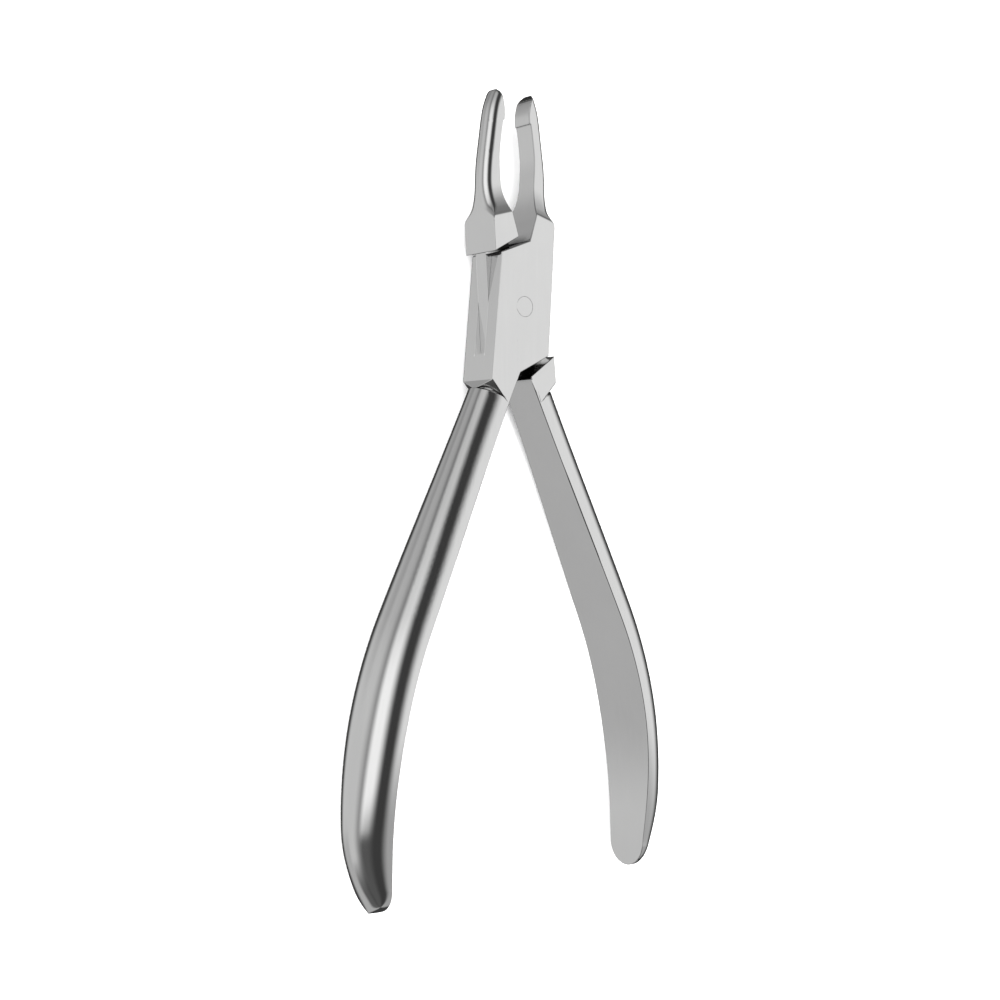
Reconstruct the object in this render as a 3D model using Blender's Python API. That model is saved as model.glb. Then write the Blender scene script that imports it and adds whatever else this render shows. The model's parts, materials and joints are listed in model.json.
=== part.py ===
"""Box-joint crimping pliers in stainless steel: two forged halves and the rivet pin that they turn on.

The pliers lie on a table, front face up. The origin is on the pivot's axis, on the joint's back face;
+Y runs to the jaws, +Z to the front face. Each half is drawn as if the pliers were closed, with its jaw
on the +X side and its handle on the -X side. The tongue half is drawn the same way and mirrored in X.
"""

import math

import bmesh
import bpy
from mathutils import Matrix, Vector

MM = 0.001

# Driving dimensions, in millimetres and degrees.
REST_LEAN = 4.4  # turn of each half from closed, with the pliers at rest
THICKNESS = 8.4  # of the joint, from the back face to the front face
HALF = THICKNESS / 2

# The joint's sides taper a little, from the handles to the jaws.
SIDE_AT_PIVOT = 5.92
SIDE_TAPER = -0.0165  # change of the half width for each millimetre towards the jaws

PIN_RADIUS = 1.75
CHEEK_BORE_RADIUS = 1.78
TONGUE_BORE_RADIUS = 1.81
SLOT_THICKNESS = 2.9
SLOT_RADIUS = 10.65  # of the round pocket that the tongue turns in
TONGUE_THICKNESS = 2.8
TONGUE_RADIUS = 10.45
TONGUE_SIDE_INSET = 0.03  # the tongue's sides stay this far inside the joint's
TONGUE_OVERLAP = 0.9  # how far the tongue runs into the jaw base and into the root
TONGUE_BURIED = 0.5  # how far the tongue's ends stay inside those two at the joint's side
NECK_X = 0.45  # from the middle line to each neck of the tongue
NECK_TOP_GROWTH = 0.25  # how much further out the upper neck is at its end
NECK_FOOT_GROWTH = 0.45
SLOT_TOP_X = 0.20  # where the slot's open upper left part ends
SLOT_FOOT_X = -0.05  # where its open lower right part starts
SLOT_REACH = 14.0  # height to which the slot is open, above and below the pivot

# Slanted edges of the joint: height at the middle line, and slope. The cheeks' edges belong to the box
# half, and the shoulders' edges, which pass over them, to the tongue half.
CHEEK_TOP = (11.45, 25.0)
CHEEK_TOP_X = 0.26  # where the cheeks' upper edge meets the jaw
CHEEK_FOOT = (-11.50, 31.0)
CHEEK_FOOT_X = -0.02  # where the cheeks' lower edge meets the root
SHOULDER_TOP = (12.26, -25.0)
SHOULDER_TOP_X = 0.35
SHOULDER_FOOT = (-12.50, -32.0)
SHOULDER_FOOT_X = -0.53

# Jaw: its inner face from the joint to the ledge, its convex tip pad, and its outer face back down.
JAW_THICKNESS = 4.2
JAW_ROOT = (1.43, 16.4)
JAW_INNER = ((1.93, 19.6), (1.97, 23.0), (1.80, 26.5), (1.15, 30.0), (0.54, 32.5))
JAW_PAD = ((0.24, 32.6), (0.03, 34.4), (0.26, 36.3), (0.72, 37.5))
JAW_TIP = (1.25, 37.95)
JAW_OUTER = ((1.85, 37.2), (2.95, 34.6), (4.10, 29.7), (5.08, 25.0), (5.50, 21.3), (5.66, 17.0))
JAW_SIDE_Y = 14.8  # height at which the jaw's outer face runs into the joint's side
RELIEF_RADIUS = 10.0  # of the hollow where the jaw thins out of the joint
RELIEF_END = 22.5  # height at which the jaw has its own thickness
RELIEF_SKEW = -11.0  # turn of the hollow, towards the jaw's outer side

# Handle: a flat inner face along a line, an arc and a line, and a half-elliptical outer side.
HANDLE_START = (-0.20, -11.75)
TONGUE_HANDLE_START = 0.8  # the tongue half's handle starts this far along that line
HANDLE_LEAN = 20.3
HANDLE_STRAIGHT = 47.2
HANDLE_ARC_RADIUS = 80.0
HANDLE_TURN = 27.6
HANDLE_LENGTH = 95.2
HANDLE_WIDEST_AT = 62.0
HANDLE_END_RADIUS = 4.4
HANDLE_SWELL = (1.7, 1.1)  # how late the handle swells to its widest, and how early it tapers
HANDLE_HALF_WIDTHS = (4.19, 6.40, HANDLE_END_RADIUS)  # at the joint, where it is widest, and at the end
HANDLE_DEPTHS = (5.45, 5.95, 2.05)  # at the joint, along the grip, and at the tip
HANDLE_TIP_TAPER = 14.5  # length of the thinning tip, whose crown is a parabola
HANDLE_SUNK = 0.5  # how much shallower the handle is where it runs inside the root
HANDLE_EMERGES = (4.95, 5.3)  # distances between which it takes its full depth, under the root's ridge

# Root: the joint's corner above the handle, cut back by two slanted facets that meet in a ridge.
ROOT_CORNER_Y = -13.4
ROOT_OUTER_LEAN = 21.0
ROOT_FACET_TURN = -42.7  # direction of the facets' upper edges on the joint's faces
ROOT_RIDGE_REACH = 1.54  # how far the ridge stands past those edges
ROOT_LENGTH = 3.8
ROOT_INNER = (1.0, 5.8)  # distances along the handle at which the root's inner side starts and ends
ROOT_INSET = 0.05  # the root stays this far behind the handle's inner face

ARC_STEP = 4.0  # degrees for each facet of an arc
SHARP_ANGLE = 30.0  # faces that meet more sharply than this keep their edge in the shading
ROUND_SIDES = 96
CUT_MARGIN = 4.0  # how far cutters reach past what they cut
STEEL = (0.78, 0.78, 0.77, 1.0)
PIN_STEEL = (0.72, 0.72, 0.71, 1.0)


def clear_scene():
    for obj in list(bpy.data.objects):
        bpy.data.objects.remove(obj)


def new_collection(name):
    collection = bpy.data.collections.new(name)
    bpy.context.scene.collection.children.link(collection)
    return collection


def steel(name, colour, roughness):
    material = bpy.data.materials.new(name)
    material.use_nodes = True
    shader = material.node_tree.nodes["Principled BSDF"]
    shader.inputs["Base Color"].default_value = colour
    shader.inputs["Metallic"].default_value = 1.0
    shader.inputs["Roughness"].default_value = roughness
    return material


def side(y):
    """Half width of the joint at height y."""
    return SIDE_AT_PIVOT + SIDE_TAPER * y


def slanted(edge, x):
    """Point at x on one of the joint's slanted edges, given as (height at the middle, slope)."""
    height, slope = edge
    return (x, height + x * math.tan(math.radians(slope)))


def slanted_end(edge, sign):
    """Point where a slanted edge meets the joint's side, on the -X or +X side."""
    x = sign * side(edge[0])
    for _ in range(3):
        x = sign * side(slanted(edge, x)[1])
    return slanted(edge, x)


def arc(radius, start, end):
    """Points of an arc about the pivot, from one angle to another, in degrees."""
    steps = max(2, round(abs(end - start) / ARC_STEP))
    angles = [math.radians(start + (end - start) * i / steps) for i in range(steps + 1)]
    return [(radius * math.cos(a), radius * math.sin(a)) for a in angles]


def smooth(points, steps=4):
    """A Catmull-Rom curve through the points, which starts and ends on them."""
    path = [Vector(p) for p in points]
    path = [2 * path[0] - path[1], *path, 2 * path[-1] - path[-2]]
    curve = []
    for before, a, b, after in zip(path, path[1:], path[2:], path[3:]):
        for i in range(steps):
            t = i / steps
            curve.append(
                0.5
                * (
                    2 * a
                    + (b - before) * t
                    + (2 * before - 5 * a + 4 * b - after) * t**2
                    + (3 * a - before - 3 * b + after) * t**3
                )
            )
    return [tuple(p) for p in curve] + [tuple(points[-1])]


def mesh_object(name, mesh, collection):
    obj = bpy.data.objects.new(name, mesh)
    collection.objects.link(obj)
    return obj


def plate(name, outline, thickness, collection):
    """A flat piece: the outline, in millimetres, extruded to both sides of the joint's middle plane."""
    curve = bpy.data.curves.new(name, "CURVE")
    curve.dimensions = "2D"
    curve.fill_mode = "BOTH"
    curve.extrude = thickness / 2 * MM
    spline = curve.splines.new("POLY")
    spline.points.add(len(outline) - 1)
    for point, (x, y) in zip(spline.points, outline):
        point.co = (x * MM, y * MM, 0, 1)
    spline.use_cyclic_u = True
    flat = mesh_object(name, curve, collection)
    bpy.context.view_layer.update()
    graph = bpy.context.evaluated_depsgraph_get()
    mesh = bpy.data.meshes.new_from_object(flat.evaluated_get(graph))
    bpy.data.objects.remove(flat)
    solid = bmesh.new()
    solid.from_mesh(mesh)
    bmesh.ops.remove_doubles(solid, verts=solid.verts, dist=1e-6)
    bmesh.ops.recalc_face_normals(solid, faces=solid.faces)
    solid.to_mesh(mesh)
    solid.free()
    return mesh_object(name, mesh, collection)


def round_bar(name, radius, length, collection):
    """A cylinder on the pivot's axis, centred on the joint's middle plane."""
    mesh = bpy.data.meshes.new(name)
    solid = bmesh.new()
    bmesh.ops.create_cone(
        solid,
        cap_ends=True,
        segments=ROUND_SIDES,
        radius1=radius * MM,
        radius2=radius * MM,
        depth=length * MM,
    )
    solid.to_mesh(mesh)
    solid.free()
    return mesh_object(name, mesh, collection)


def handle_frame(distance):
    """Point of the handle's inner face at a distance along it, and the direction towards its crown."""
    straight = min(distance, HANDLE_STRAIGHT)
    turned = min(max(distance - HANDLE_STRAIGHT, 0) / HANDLE_ARC_RADIUS, math.radians(HANDLE_TURN))
    last = max(distance - HANDLE_STRAIGHT - HANDLE_ARC_RADIUS * math.radians(HANDLE_TURN), 0)
    lean = math.radians(HANDLE_LEAN)
    now = lean - turned
    along = Vector((-math.sin(lean), -math.cos(lean))) * straight
    bend = Vector((math.cos(lean) - math.cos(now), math.sin(now) - math.sin(lean))) * HANDLE_ARC_RADIUS
    beyond = Vector((-math.sin(now), -math.cos(now))) * last
    outward = Vector((-math.cos(now), math.sin(now)))
    return Vector(HANDLE_START) + along + bend + beyond, outward


def blend(a, b, amount):
    """From a to b along a smooth step."""
    amount = min(max(amount, 0), 1)
    return a + (b - a) * amount * amount * (3 - 2 * amount)


def handle_half_width(distance):
    """Half of the handle's width, front to back: it swells, tapers, and ends in a half circle."""
    root, widest, end = HANDLE_HALF_WIDTHS
    end_centre = HANDLE_LENGTH - HANDLE_END_RADIUS
    if distance < HANDLE_WIDEST_AT:
        share = distance / HANDLE_WIDEST_AT
        return root + (widest - root) * math.sin(share * math.pi / 2) ** HANDLE_SWELL[0]
    if distance < end_centre:
        share = (distance - HANDLE_WIDEST_AT) / (end_centre - HANDLE_WIDEST_AT)
        return end + (widest - end) * math.cos(share * math.pi / 2) ** HANDLE_SWELL[1]
    return math.sqrt(max(HANDLE_END_RADIUS**2 - (distance - end_centre) ** 2, 0.2))


def handle_depth(distance):
    """The handle's thickness, from its flat inner face to its crown."""
    root, grip, tip = HANDLE_DEPTHS
    start, end = HANDLE_EMERGES
    thinned = (max(distance - HANDLE_LENGTH + HANDLE_TIP_TAPER, 0) / HANDLE_TIP_TAPER) ** 2
    sunk = blend(HANDLE_SUNK, 0, (distance - start) / (end - start))
    return blend(root, grip, 2 * distance / HANDLE_LENGTH) + (tip - grip) * thinned - sunk


def handle_stations(start):
    """Distances along the handle at which its section is drawn, from a start to the tip."""
    end_centre = HANDLE_LENGTH - HANDLE_END_RADIUS
    emerging, emerged = HANDLE_EMERGES
    body = [start, emerging, *(emerged + (end_centre - emerged) * i / 34 for i in range(35))]
    tip = [end_centre + HANDLE_END_RADIUS * math.sin(math.radians(a)) for a in (15, 30, 45, 58, 70, 80, 87)]
    return body + tip


def handle(name, start, collection, section_steps=20):
    """The handle, lofted through half ellipses whose flat side is the handle's inner face."""
    mesh = bpy.data.meshes.new(name)
    solid = bmesh.new()
    rings = []
    for distance in handle_stations(start):
        foot, outward = handle_frame(distance)
        width = handle_half_width(distance)
        depth = handle_depth(distance)
        ring = []
        for i in range(section_steps + 1):
            turn = math.pi * (i / section_steps - 0.5)
            point = foot + outward * depth * math.cos(turn)
            ring.append(solid.verts.new((point.x * MM, point.y * MM, width * math.sin(turn) * MM)))
        rings.append(ring)
    for ring, following in zip(rings, rings[1:]):
        for i in range(len(ring)):
            j = (i + 1) % len(ring)
            solid.faces.new((ring[i], ring[j], following[j], following[i]))
    solid.faces.new(rings[0])
    solid.faces.new(rings[-1])
    bmesh.ops.recalc_face_normals(solid, faces=solid.faces)
    solid.to_mesh(mesh)
    solid.free()
    return mesh_object(name, mesh, collection)


def cut_away(obj, point, normal):
    """Removes what lies past a plane and closes the cut."""
    solid = bmesh.new()
    solid.from_mesh(obj.data)
    cut = bmesh.ops.bisect_plane(
        solid,
        geom=[*solid.verts, *solid.edges, *solid.faces],
        dist=1e-7,
        plane_co=Vector(point) * MM,
        plane_no=normal,
        clear_outer=True,
    )
    rim = [part for part in cut["geom_cut"] if isinstance(part, bmesh.types.BMEdge)]
    bmesh.ops.holes_fill(solid, edges=rim, sides=len(rim))
    bmesh.ops.recalc_face_normals(solid, faces=solid.faces)
    solid.to_mesh(obj.data)
    solid.free()


def root_outline():
    """The handle's full-thickness root, from the top of its inner side to its outer corner."""
    corner = Vector((-side(ROOT_CORNER_Y), ROOT_CORNER_Y))
    flare = Vector((-math.tan(math.radians(ROOT_OUTER_LEAN)), -1))
    inner = []
    for distance in ROOT_INNER:
        point, outward = handle_frame(distance)
        inner.append(tuple(point + outward * ROOT_INSET))
    return [*inner, tuple(corner + ROOT_LENGTH * flare), tuple(corner)]


def cut_root_facets(block):
    """Cuts the root's end back with two slanted facets, one to each face, which meet in a ridge."""
    turn = math.radians(ROOT_FACET_TURN - 90)
    across = Vector((math.cos(turn), math.sin(turn)))
    for face in (-1, 1):
        normal = Vector((across.x * HALF, across.y * HALF, face * ROOT_RIDGE_REACH))
        corner = (-side(ROOT_CORNER_Y), ROOT_CORNER_Y, face * HALF)
        cut_away(block, corner, normal.normalized())


def jaw_outline():
    """The jaw in the joint's plane: up the inner face from its root, round the tip and down the outer face."""
    inner = smooth([JAW_ROOT, *JAW_INNER])
    outer = smooth([*JAW_PAD, JAW_TIP, *JAW_OUTER, (side(JAW_SIDE_Y), JAW_SIDE_Y)])
    return inner + outer


def jaw_relief(name, face, collection):
    """Cutter that thins the jaw on one face and leaves a hollow where the jaw grows out of the joint."""
    drop = RELIEF_END - JAW_ROOT[1] + 1.0
    hollow = arc(RELIEF_RADIUS, -90 - math.degrees(math.asin(drop / RELIEF_RADIUS)), -90)
    floor = JAW_THICKNESS / 2
    profile = [(RELIEF_END + x, floor + RELIEF_RADIUS + z) for x, z in hollow]
    far = JAW_TIP[1] + CUT_MARGIN
    above = HALF + CUT_MARGIN
    profile += [(far, floor), (far, above), (profile[0][0], above)]
    cutter = plate(name, profile, 6 * THICKNESS, collection)
    # The profile is drawn as (height, level), so it is stood up: its X goes to +Y and its Y to Z.
    stand = Matrix(((0, 0, 1, 0), (1, 0, 0, 0), (0, 1, 0, 0), (0, 0, 0, 1)))
    mirror = Matrix.Diagonal((1, 1, face, 1))
    about = Matrix.Translation(Vector((*JAW_ROOT, 0)) * MM)
    skew = about @ Matrix.Rotation(math.radians(RELIEF_SKEW), 4, "Z") @ about.inverted()
    cutter.data.transform(skew @ mirror @ stand)
    if face < 0:
        cutter.data.flip_normals()
    return cutter


def combine(base, others, operation):
    """Joins other solids to the base, or cuts them out of it, and makes them helpers."""
    for other in others:
        step = base.modifiers.new(f"{operation.lower()} {other.name}", "BOOLEAN")
        step.operation = operation
        step.object = other
        step.solver = "EXACT"
        other.hide_render = True
        other.display_type = "WIRE"


def box_half(parts, helpers):
    """The half whose joint is a slotted box: right jaw, two cheeks and left handle."""
    outline = [
        slanted_end(CHEEK_TOP, -1),
        slanted(CHEEK_TOP, CHEEK_TOP_X),
        *jaw_outline(),
        slanted_end(CHEEK_FOOT, 1),
        slanted(CHEEK_FOOT, CHEEK_FOOT_X),
        *root_outline(),
    ]
    half = plate("box_half", outline, THICKNESS, parts)
    cut_root_facets(half)
    grown = [handle("box_handle", 0.0, helpers)]
    taken = [
        jaw_relief("box_relief_front", 1, helpers),
        jaw_relief("box_relief_back", -1, helpers),
        plate("box_slot", slot_outline(), SLOT_THICKNESS, helpers),
        round_bar("box_bore", CHEEK_BORE_RADIUS, THICKNESS + CUT_MARGIN, helpers),
    ]
    combine(half, grown, "UNION")
    combine(half, taken, "DIFFERENCE")
    return [half, *grown, *taken]


def slot_outline():
    """The pocket between the cheeks: round, open to the upper left and to the lower right."""
    top_angle = math.degrees(math.acos(SLOT_TOP_X / SLOT_RADIUS))
    foot_angle = 360 - math.degrees(math.acos(SLOT_FOOT_X / SLOT_RADIUS))
    return [
        (SLOT_TOP_X, SLOT_REACH),
        (-SLOT_RADIUS, SLOT_REACH),
        *arc(SLOT_RADIUS, 180, foot_angle),
        (SLOT_FOOT_X, -SLOT_REACH),
        (SLOT_RADIUS, -SLOT_REACH),
        *arc(SLOT_RADIUS, 0, top_angle),
    ]


def tongue_outline():
    """The tongue: a round plate with flat sides, and a neck to the jaw base and another to the root."""
    def flank(y):
        return side(y) - TONGUE_SIDE_INSET

    corner = math.degrees(math.acos(flank(0) / TONGUE_RADIUS))
    neck_angle = math.degrees(math.acos(NECK_X / TONGUE_RADIUS))
    neck_top = slanted(SHOULDER_TOP, NECK_X + NECK_TOP_GROWTH)
    side_top = slanted(SHOULDER_TOP, flank(SHOULDER_TOP[0]) - TONGUE_BURIED)
    neck_foot = slanted(SHOULDER_FOOT, -NECK_X - NECK_FOOT_GROWTH)
    side_foot = slanted(SHOULDER_FOOT, TONGUE_BURIED - flank(SHOULDER_FOOT[0]))
    top_flank_y = slanted_end(SHOULDER_TOP, 1)[1] + TONGUE_BURIED / 2
    foot_flank_y = slanted_end(SHOULDER_FOOT, -1)[1] - TONGUE_BURIED / 2
    return [
        (neck_top[0], neck_top[1] + TONGUE_OVERLAP),
        *arc(TONGUE_RADIUS, neck_angle, 180 - corner),
        (-flank(foot_flank_y), foot_flank_y),
        (side_foot[0], side_foot[1] - TONGUE_OVERLAP),
        (neck_foot[0], neck_foot[1] - TONGUE_OVERLAP),
        *arc(TONGUE_RADIUS, 180 + neck_angle, 360 - corner),
        (flank(top_flank_y), top_flank_y),
        (side_top[0], side_top[1] + TONGUE_OVERLAP),
    ]


def tongue_half(parts, helpers):
    """The half whose joint is the tongue in the box: left jaw, tongue and right handle. Drawn mirrored."""
    base = [slanted(SHOULDER_TOP, SHOULDER_TOP_X), *jaw_outline(), slanted_end(SHOULDER_TOP, 1)]
    half = plate("tongue_half", base, THICKNESS, parts)
    root_top = [slanted_end(SHOULDER_FOOT, -1), slanted(SHOULDER_FOOT, SHOULDER_FOOT_X)]
    root = plate("tongue_root", [*root_top, *root_outline()], THICKNESS, helpers)
    cut_root_facets(root)
    tongue = plate("tongue", tongue_outline(), TONGUE_THICKNESS, helpers)
    grown = [tongue, root, handle("tongue_handle", TONGUE_HANDLE_START, helpers)]
    taken = [
        jaw_relief("tongue_relief_front", 1, helpers),
        jaw_relief("tongue_relief_back", -1, helpers),
        round_bar("tongue_bore", TONGUE_BORE_RADIUS, THICKNESS + CUT_MARGIN, helpers),
    ]
    combine(half, grown, "UNION")
    combine(half, taken, "DIFFERENCE")
    solids = [half, *grown, *taken]
    for solid in solids:
        solid.data.transform(Matrix.Diagonal((-1, 1, 1, 1)))
        solid.data.flip_normals()
    return solids


def hang(name, solids, lean, collection):
    """Puts a half's solids on an empty on the pivot's axis, turned to its place at rest."""
    pivot = bpy.data.objects.new(name, None)
    pivot.location = (0, 0, HALF * MM)
    pivot.rotation_euler = (0, 0, math.radians(lean))
    collection.objects.link(pivot)
    for solid in solids:
        solid.parent = pivot


def main():
    clear_scene()
    parts = new_collection("crimping_pliers")
    helpers = new_collection("cutters")
    helpers.hide_render = True

    box = box_half(parts, helpers)
    tongue = tongue_half(parts, helpers)
    pin = round_bar("pivot_pin", PIN_RADIUS, THICKNESS, parts)
    hang("box_pivot", [*box, pin], -REST_LEAN, parts)
    hang("tongue_pivot", tongue, REST_LEAN, parts)

    forged = steel("polished_steel", STEEL, 0.22)
    for half in (box[0], tongue[0]):
        half.data.materials.append(forged)
    pin.data.materials.append(steel("ground_steel", PIN_STEEL, 0.28))
    for obj in (box[0], tongue[0], pin):
        obj.data.shade_smooth()
        obj.data.set_sharp_from_angle(angle=math.radians(SHARP_ANGLE))


if __name__ == "__main__":
    main()
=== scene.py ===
"""Box-joint crimping pliers in polished stainless steel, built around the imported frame.

Lengths inside the shape functions are in millimetres. Each half is drawn as if the pliers were closed, with
its jaw on the +X side and its handle on the -X side, and heights run along +Y, from the pivot to the jaws.
The tongue half is drawn the same way and mirrored in X.
"""

import json
import math

import bmesh
import bpy
import numpy as np
from bpy.props import FloatProperty, FloatVectorProperty, PointerProperty
from mathutils import Matrix, Vector


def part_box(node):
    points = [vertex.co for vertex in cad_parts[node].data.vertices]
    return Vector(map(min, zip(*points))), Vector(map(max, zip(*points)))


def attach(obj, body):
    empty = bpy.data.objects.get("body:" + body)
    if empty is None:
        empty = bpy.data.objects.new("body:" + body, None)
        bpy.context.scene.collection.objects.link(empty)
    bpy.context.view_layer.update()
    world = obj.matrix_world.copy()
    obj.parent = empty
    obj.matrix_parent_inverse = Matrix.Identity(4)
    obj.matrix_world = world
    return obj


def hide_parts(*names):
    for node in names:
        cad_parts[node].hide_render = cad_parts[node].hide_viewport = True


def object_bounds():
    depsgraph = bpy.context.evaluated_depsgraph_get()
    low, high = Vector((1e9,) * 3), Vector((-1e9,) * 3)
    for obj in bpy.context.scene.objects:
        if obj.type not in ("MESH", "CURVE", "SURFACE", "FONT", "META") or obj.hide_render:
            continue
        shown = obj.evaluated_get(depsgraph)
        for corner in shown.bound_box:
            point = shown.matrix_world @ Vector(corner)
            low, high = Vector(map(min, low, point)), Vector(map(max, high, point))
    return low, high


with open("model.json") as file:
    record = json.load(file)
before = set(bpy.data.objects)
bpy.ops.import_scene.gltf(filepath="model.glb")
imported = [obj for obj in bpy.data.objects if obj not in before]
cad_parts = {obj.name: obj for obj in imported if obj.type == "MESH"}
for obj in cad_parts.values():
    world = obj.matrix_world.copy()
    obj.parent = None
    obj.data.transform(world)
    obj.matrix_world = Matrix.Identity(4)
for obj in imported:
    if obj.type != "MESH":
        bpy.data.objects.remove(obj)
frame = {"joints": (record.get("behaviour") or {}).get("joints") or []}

bl_info = {
    "name": "Box-Joint Crimping Pliers",
    "version": (1, 0, 0),
    "blender": (4, 5, 0),
    "location": "3D View > Sidebar > Pliers",
    "description": "Builds a pair of forged and polished crimping pliers on their frame",
    "category": "Add Mesh",
}

CAD_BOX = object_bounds()
PIVOT = Vector(frame["joints"][0]["pos_m"])
PIN_LOW, PIN_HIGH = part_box("pivot_pin")

MM = 0.001
REST_LEAN = 4.4  # degrees that each half is turned from closed
HALF = (PIN_HIGH.z - PIN_LOW.z) / 2 / MM  # half of the joint's thickness
PIN_RADIUS = (PIN_HIGH.x - PIN_LOW.x) / 2 / MM
SIDE_AT_PIVOT = 5.92
SIDE_TAPER = -0.0165  # change of the joint's half width for each millimetre of height

CHEEK_BORE_RADIUS = 1.78
TONGUE_BORE_RADIUS = 1.81
SLOT_THICKNESS = 2.9
SLOT_RADIUS = 10.65
TONGUE_THICKNESS = 2.8
TONGUE_RADIUS = 10.45
TONGUE_SIDE_INSET = 0.03
TONGUE_OVERLAP = 0.9
TONGUE_BURIED = 0.5
NECK_X = 0.45
NECK_TOP_GROWTH = 0.25
NECK_FOOT_GROWTH = 0.45
SLOT_TOP_X = 0.20
SLOT_FOOT_X = -0.05
SLOT_REACH = 14.0

# Slanted edges of the joint: height at the middle line, and slope in degrees; and the x where each one ends.
CHEEK_TOP = (11.45, 25.0)
CHEEK_TOP_X = 0.26
CHEEK_FOOT = (-11.50, 31.0)
CHEEK_FOOT_X = -0.02
SHOULDER_TOP = (12.26, -25.0)
SHOULDER_TOP_X = 0.35
SHOULDER_FOOT = (-12.50, -32.0)
SHOULDER_FOOT_X = -0.53

JAW_THICKNESS = 4.2
JAW_ROOT = np.array((1.43, 16.4))
JAW_INNER = ((1.93, 19.6), (1.97, 23.0), (1.80, 26.5), (1.15, 30.0), (0.54, 32.5))
JAW_PAD = ((0.24, 32.6), (0.03, 34.4), (0.26, 36.3), (0.72, 37.5))
JAW_TIP = (1.25, 37.95)
JAW_OUTER = ((1.85, 37.2), (2.95, 34.6), (4.10, 29.7), (5.08, 25.0), (5.50, 21.3), (5.66, 17.0))
JAW_SIDE_Y = 14.8
JAW_SKEW = math.radians(-11.0)  # the jaw's sections rise towards its outer side by this much
JAW_CORNER_STRETCH = 1.08  # how much deeper than wide the rounding of the jaw's outer corners is
JAW_BURIED = 1.0  # how far below its root line the jaw is drawn before it meets the joint
RELIEF_RADIUS = 10.0
RELIEF_HEIGHT = 6.1  # from the root line to where the jaw has its own thickness

HANDLE_START = np.array((-0.20, -11.75))
TONGUE_HANDLE_START = 0.8
HANDLE_LEAN = math.radians(20.3)
HANDLE_STRAIGHT = 47.2
HANDLE_ARC_RADIUS = 80.0
HANDLE_TURN = math.radians(27.6)
HANDLE_LENGTH = 95.2
HANDLE_WIDEST_AT = 62.0
HANDLE_END_RADIUS = 4.4
HANDLE_SWELL = (1.7, 1.1)
HANDLE_HALF_WIDTHS = (4.19, 6.40, HANDLE_END_RADIUS)
HANDLE_DEPTHS = (5.45, 5.95, 2.05)
HANDLE_TIP_TAPER = 14.5
HANDLE_SUNK = 0.5  # how much shallower the handle is where it runs inside the root
HANDLE_EMERGES = (4.95, 5.3)  # distances along it between which it takes its full depth

ROOT_CORNER_Y = -13.4
ROOT_OUTER_LEAN = math.radians(21.0)
ROOT_FACET_TURN = math.radians(-42.7)
ROOT_RIDGE_REACH = 1.54
ROOT_LENGTH = 3.8
ROOT_INNER = (1.0, 5.8)
ROOT_INSET = 0.05

ARC_STEP = 1.5  # degrees for each facet of an arc
MARGIN = 4.0  # how far cutters reach past what they cut
EDGE_ANGLE = math.radians(17.0)  # faces that meet more sharply than this have an edge between them
HAND_BROKEN_ANGLE = math.radians(24.0)  # and past this angle that edge is broken by hand
LEVEL_ANGLE = math.radians(0.15)  # faces that meet less sharply than this are joined into one
TOUCHING = 0.004  # points closer than this are one point

# Where sharp edges are left as they are, because the pieces run close or another rounding starts there.
SLOT_INSIDE = (SLOT_THICKNESS / 2 + 0.02, 14.5)  # half height, and distance from the pivot's axis
BORE_INSIDE = TONGUE_BORE_RADIUS + 0.2  # distance from the axis
JAW_FOOT_TOP = 1.6  # height above the buried foot up to which the outer corners are left
JAW_FOOT_X = 3.5
RIDGE_DEPTHS = (0.05, 3.2)  # below the root's corner
RIDGE_X = -3.0


class ForgingSizes(bpy.types.PropertyGroup):
    """Finish sizes of the two forged halves and of the pin."""

    edge: FloatProperty(
        name="Broken edge",
        description="Width to which the forgings' sharp edges are rounded",
        default=0.00016,
        unit="LENGTH",
    )
    jaw_corner: FloatProperty(
        name="Jaw corner",
        description="Radius of the jaws' outer corners",
        default=0.0019,
        unit="LENGTH",
    )
    pin_chamfer: FloatProperty(
        name="Pin chamfer",
        description="Width of the ring around each end of the pin",
        default=0.00003,
        unit="LENGTH",
    )


class SteelFinish(bpy.types.PropertyGroup):
    """Colours and polish of the steel."""

    bright: FloatVectorProperty(
        name="Bright steel",
        description="Colour of the polished steel",
        default=(0.655, 0.655, 0.652, 1.0),
        size=4,
        subtype="COLOR",
    )
    dull: FloatVectorProperty(
        name="Dull steel",
        description="Colour of the steel where the polish is thinnest",
        default=(0.60, 0.60, 0.598, 1.0),
        size=4,
        subtype="COLOR",
    )
    roughness: FloatProperty(
        name="Roughness",
        description="Roughness of the polished steel",
        default=0.10,
        subtype="FACTOR",
    )
    grain: FloatProperty(
        name="Grain",
        description="Length of one polishing line across the tool",
        default=0.0006,
        unit="LENGTH",
    )


class StudioSettings(bpy.types.PropertyGroup):
    """The stage and its camera."""

    floor_size: FloatProperty(
        name="Floor size",
        description="Length of the floor's sides",
        default=6.0,
        unit="LENGTH",
    )
    floor_colour: FloatVectorProperty(
        name="Floor colour",
        description="Colour of the pale floor",
        default=(0.96, 0.96, 0.96, 1.0),
        size=4,
        subtype="COLOR",
    )
    tent: FloatProperty(
        name="Tent light",
        description="Strength of the light all round",
        default=1.0,
    )
    overhead: FloatProperty(
        name="Overhead light",
        description="Power of the soft light over the floor",
        default=40.0,
        unit="POWER",
    )
    lens: FloatProperty(
        name="Lens",
        description="Focal length of the camera",
        default=58.609,
        unit="CAMERA",
    )


def side(y):
    """Half width of the joint: a straight line in the height y."""
    return SIDE_AT_PIVOT + SIDE_TAPER * y


def slanted(edge, x):
    """Point at x on a slanted edge: the height at the middle plus x times the slope's tangent."""
    height, slope = edge
    return (x, height + x * math.tan(math.radians(slope)))


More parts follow.
